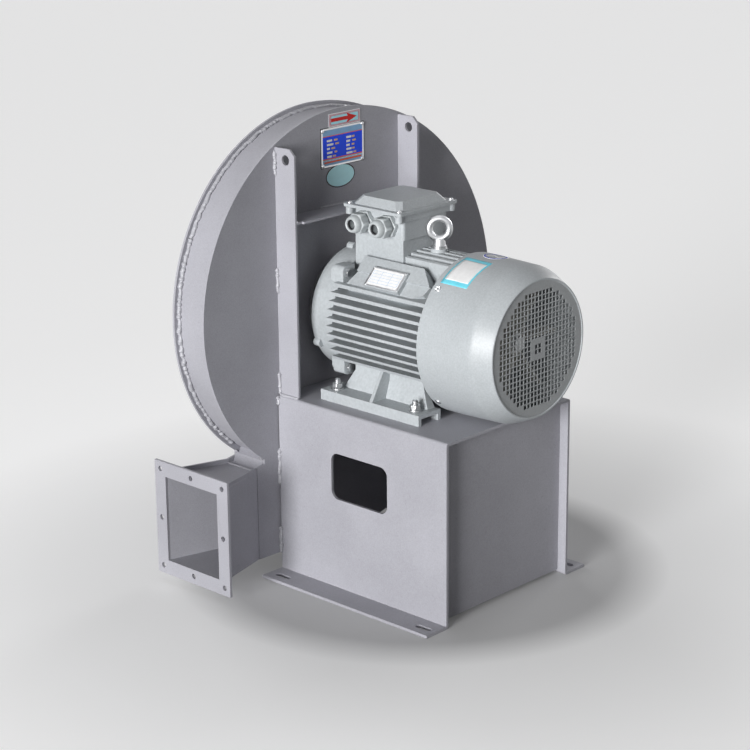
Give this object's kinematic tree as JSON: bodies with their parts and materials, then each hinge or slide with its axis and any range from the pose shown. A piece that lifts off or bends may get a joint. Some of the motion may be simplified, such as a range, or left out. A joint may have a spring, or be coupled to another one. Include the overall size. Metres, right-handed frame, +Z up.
{
  "type": "industrial centrifugal blower",
  "caption": "Direct-driven industrial centrifugal blower: scroll casing with side outlet, folded sheet stand, foot-mounted finned electric motor and impeller.",
  "frame": {"origin": "middle of the part seen from above, on the floor", "axes": "+Z up, +Y from the motor towards the inlet along the shaft, the outlet opens towards -X"},
  "size_m": [0.8618, 0.677, 0.9423],
  "materials": {
    "casing_paint": "satin grey machine paint",
    "motor_paint": "satin grey-green enamel",
    "gland_metal": "satin grey",
    "zinc": "zinc plated",
    "bare_steel": "machined",
    "copper_coil": "varnished winding",
    "brass": "plain",
    "gasket_rubber": "matt",
    "black_plastic": "matt",
    "fan_plastic": "matt"
  },
  "bodies": {
    "blower": {"casing_near_plate": "casing_paint", "casing_far_plate": "casing_paint", "scroll_wrapper": "casing_paint", "tongue_plate": "casing_paint", "outlet_duct": "casing_paint", "outlet_flange": "casing_paint", "inlet_cone": "casing_paint", "inlet_collar": "casing_paint", "inlet_bolts": "zinc", "seal_plate": "bare_steel", "seal_screws": "zinc", "left_upright": "casing_paint", "right_upright": "casing_paint", "cross_brace": "casing_paint", "motor_stand": "casing_paint", "stand_end_plate": "casing_paint", "stitch_welds": "casing_paint", "motor_frame": "motor_paint", "drive_end_shield": "motor_paint", "shield_bolts": "zinc", "fan_end_shield": "motor_paint", "fan_cowl": "motor_paint", "cowl_grille": "motor_paint", "cowl_screws": "zinc", "stator_core": "bare_steel", "stator_windings": "copper_coil", "drive_bearing_outer": "bare_steel", "fan_bearing_outer": "bare_steel", "terminal_box": "motor_paint", "terminal_gasket": "gasket_rubber", "terminal_lid": "motor_paint", "lid_screws": "zinc", "terminal_board": "black_plastic", "terminal_studs": "brass", "gland_locknuts": "zinc", "gland_bodies": "gland_metal", "gland_caps": "gland_metal", "eye_bolt": "zinc", "foot_bolts": "zinc", "foot_washers": "zinc", "foot_nuts": "zinc"},
    "rotor": {"motor_shaft": "bare_steel", "shaft_key": "bare_steel", "rotor_core": "bare_steel", "drive_bearing_inner": "bare_steel", "fan_bearing_inner": "bare_steel", "cooling_fan": "fan_plastic", "fan_ring": "bare_steel", "impeller_hub": "bare_steel", "hub_rivets": "zinc", "impeller_back_disc": "casing_paint", "impeller_blades": "casing_paint", "impeller_shroud": "casing_paint", "hub_washer": "zinc", "hub_bolt": "zinc"}
  },
  "joints": [
    {"name": "rotor_spin", "type": "hinge", "parent": "blower", "child": "rotor", "pos_m": [-0.03995, 0.1875, 0.541], "axis": [0, 1, 0], "continuous": true}
  ]
}
